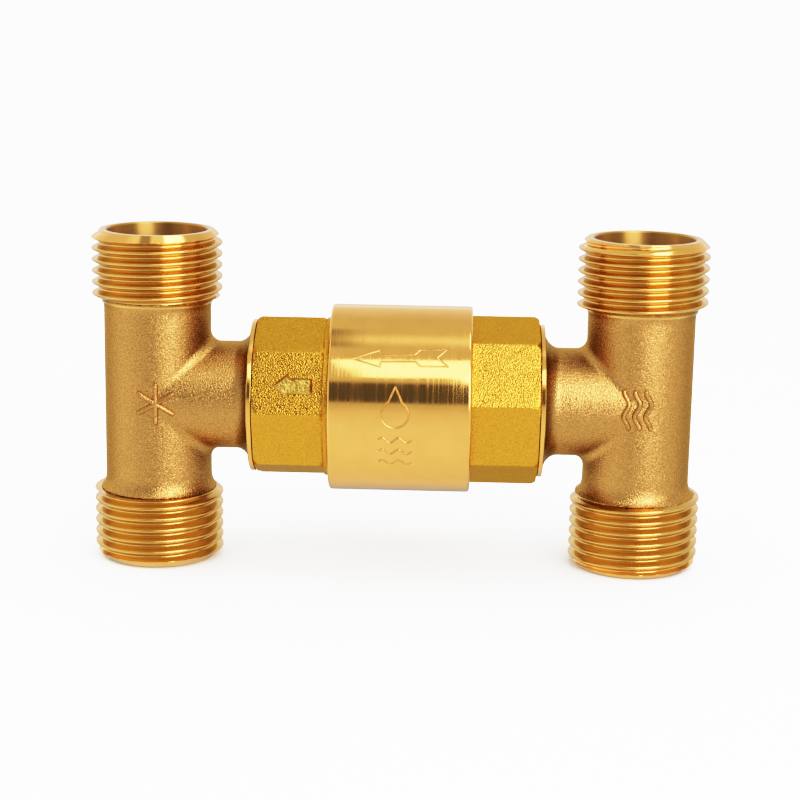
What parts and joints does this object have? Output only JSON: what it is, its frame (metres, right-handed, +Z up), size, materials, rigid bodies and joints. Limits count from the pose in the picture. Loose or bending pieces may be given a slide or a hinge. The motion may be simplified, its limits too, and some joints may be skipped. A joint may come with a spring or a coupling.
{
  "type": "check valve",
  "caption": "Inline brass spring check valve between two threaded tees, letting water cross from the hot line to the cold line one way only.",
  "frame": {"origin": "under the middle of the valve, on the plane of the tees' bottom rims", "axes": "+X along the valve from the cold (outlet) tee to the hot (inlet) tee, +Z up along the tees"},
  "size_m": [0.0988, 0.03, 0.0536],
  "materials": {
    "cast_brass": "blasted casting with polished machined threads, rims and flange",
    "turned_brass": "lathe-brushed barrel and blasted octagon flats",
    "inner_brass": "machined",
    "black_rubber": "matt nitrile rubber",
    "stainless": "bright stainless steel",
    "white_plastic": "natural acetal"
  },
  "bodies": {
    "housing": {"cold_tee": "cast_brass", "hot_tee": "cast_brass", "valve_body": "turned_brass", "end_cap": "turned_brass", "cold_tee_o_ring": "black_rubber", "hot_tee_o_ring": "black_rubber", "cap_o_ring": "black_rubber", "stem_guide": "inner_brass", "guide_bush": "white_plastic", "retaining_ring": "stainless", "return_spring": "stainless"},
    "poppet": {"valve_stem": "inner_brass", "backing_plate": "inner_brass", "disc_seal": "black_rubber", "seal_washer": "stainless", "stem_nut": "inner_brass"}
  },
  "joints": [
    {"name": "poppet_slide", "type": "slide", "parent": "housing", "child": "poppet", "axis": [-1, 0, 0], "range_m": [0, 0.0035], "stiffness_N_per_m": 180, "springref_m": -0.0025, "deforming": ["return_spring"]}
  ]
}
